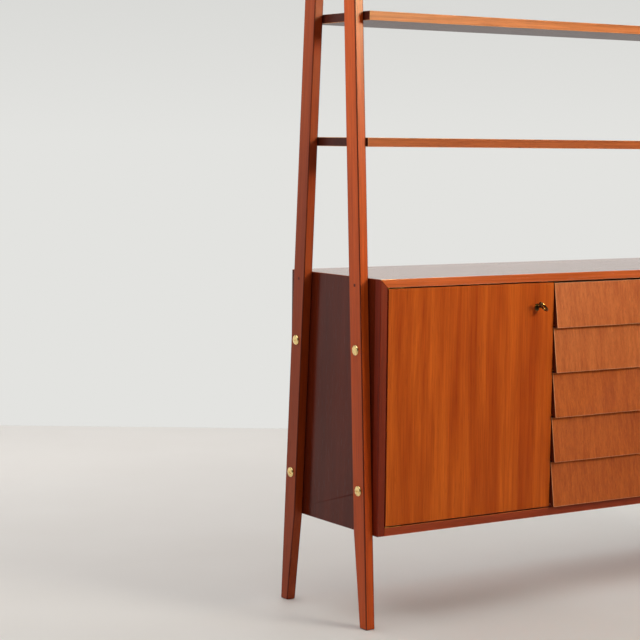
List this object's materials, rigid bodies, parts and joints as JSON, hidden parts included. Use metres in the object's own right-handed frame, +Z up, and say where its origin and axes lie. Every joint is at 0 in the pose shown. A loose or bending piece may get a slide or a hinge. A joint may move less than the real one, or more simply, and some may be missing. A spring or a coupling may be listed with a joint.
{
  "type": "ladder shelf",
  "caption": "Free-standing shelf unit: leaning ladder posts carry open shelves above a cabinet with hinged lockable doors and a stack of slanted-front drawers.",
  "frame": {"origin": "on the floor, under the centre of the overall box", "axes": "+X to the right seen from the front, +Y to the back, +Z up; doors and drawers face -Y"},
  "size_m": [1.4402, 0.3804, 1.65],
  "materials": {
    "frame_wood": "satin oiled red-brown hardwood, straight grain along the piece",
    "carcass_wood": "satin red-brown veneer",
    "door_wood": "satin orange-brown veneer with vertical ribbon grain",
    "drawer_wood": "satin light orange-brown solid wood with vertical grain",
    "inner_wood": "plain pale wood inside the cabinet and on its back",
    "brass": "polished, slightly tarnished",
    "dark_brass": "aged dark antique brass",
    "steel": "plain pressed steel"
  },
  "bodies": {
    "root": {"post_front_left": "frame_wood", "plug_front_left": "frame_wood", "post_back_left": "frame_wood", "plug_back_left": "frame_wood", "bolt_front_lower_left": "brass", "bolt_front_upper_left": "brass", "bolt_back_lower_left": "brass", "bolt_back_upper_left": "brass", "post_front_right": "frame_wood", "plug_front_right": "frame_wood", "post_back_right": "frame_wood", "plug_back_right": "frame_wood", "bolt_front_lower_right": "brass", "bolt_front_upper_right": "brass", "bolt_back_lower_right": "brass", "bolt_back_upper_right": "brass", "shelf_lower": "frame_wood", "shelf_middle": "frame_wood", "shelf_upper": "frame_wood", "cabinet_top": "carcass_wood", "cabinet_bottom": "carcass_wood", "cabinet_side_left": "carcass_wood", "cabinet_side_right": "carcass_wood", "divider_left": "inner_wood", "divider_right": "inner_wood", "back_panel": "inner_wood", "inner_shelf_left": "inner_wood", "inner_shelf_right": "inner_wood", "frame_leaf_top_left": "brass", "frame_leaf_bottom_left": "brass", "frame_leaf_top_right": "brass", "frame_leaf_bottom_right": "brass"},
    "door_left": {"door_left": "door_wood", "door_leaf_top_left": "brass", "door_leaf_bottom_left": "brass", "lock_case_left": "steel", "keyhole_ring_left": "dark_brass"},
    "key_left": {"key_left": "dark_brass"},
    "lock_bolt_left": {"lock_bolt_left": "brass"},
    "door_right": {"door_right": "door_wood", "door_leaf_top_right": "brass", "door_leaf_bottom_right": "brass", "lock_case_right": "steel", "keyhole_ring_right": "dark_brass"},
    "key_right": {"key_right": "dark_brass"},
    "lock_bolt_right": {"lock_bolt_right": "brass"},
    "drawer_1": {"drawer_1_front": "drawer_wood", "drawer_1_box": "inner_wood"},
    "drawer_2": {"drawer_2_front": "drawer_wood", "drawer_2_box": "inner_wood"},
    "drawer_3": {"drawer_3_front": "drawer_wood", "drawer_3_box": "inner_wood"},
    "drawer_4": {"drawer_4_front": "drawer_wood", "drawer_4_box": "inner_wood"},
    "drawer_5": {"drawer_5_front": "drawer_wood", "drawer_5_box": "inner_wood"}
  },
  "joints": [
    {"name": "door_left_hinge", "type": "hinge", "parent": "root", "child": "door_left", "pos_m": [-0.6688, -0.15355, 0.476], "axis": [0, 0, -1], "range_deg": [0, 100]},
    {"name": "door_right_hinge", "type": "hinge", "parent": "root", "child": "door_right", "pos_m": [0.6688, -0.15355, 0.476], "axis": [0, 0, 1], "range_deg": [0, 100]},
    {"name": "key_left_turn", "type": "hinge", "parent": "door_left", "child": "key_left", "pos_m": [-0.268, -0.15775, 0.679], "axis": [0, 1, 0], "range_deg": [0, 90]},
    {"name": "key_right_turn", "type": "hinge", "parent": "door_right", "child": "key_right", "pos_m": [0.268, -0.15775, 0.679], "axis": [0, -1, 0], "range_deg": [0, 90]},
    {"name": "lock_left_slide", "type": "slide", "parent": "door_left", "child": "lock_bolt_left", "axis": [1, 0, 0], "range_m": [0, 0.012]},
    {"name": "lock_right_slide", "type": "slide", "parent": "door_right", "child": "lock_bolt_right", "axis": [-1, 0, 0], "range_m": [0, 0.012]},
    {"name": "drawer_1_slide", "type": "slide", "parent": "root", "child": "drawer_1", "axis": [0, -1, 0], "range_m": [0, 0.25]},
    {"name": "drawer_2_slide", "type": "slide", "parent": "root", "child": "drawer_2", "axis": [0, -1, 0], "range_m": [0, 0.25]},
    {"name": "drawer_3_slide", "type": "slide", "parent": "root", "child": "drawer_3", "axis": [0, -1, 0], "range_m": [0, 0.25]},
    {"name": "drawer_4_slide", "type": "slide", "parent": "root", "child": "drawer_4", "axis": [0, -1, 0], "range_m": [0, 0.25]},
    {"name": "drawer_5_slide", "type": "slide", "parent": "root", "child": "drawer_5", "axis": [0, -1, 0], "range_m": [0, 0.25]}
  ],
  "couplings": [
    {"joint": "lock_left_slide", "follows": "key_left_turn", "m_per_rad": 0.007639},
    {"joint": "lock_right_slide", "follows": "key_right_turn", "m_per_rad": 0.007639}
  ]
}
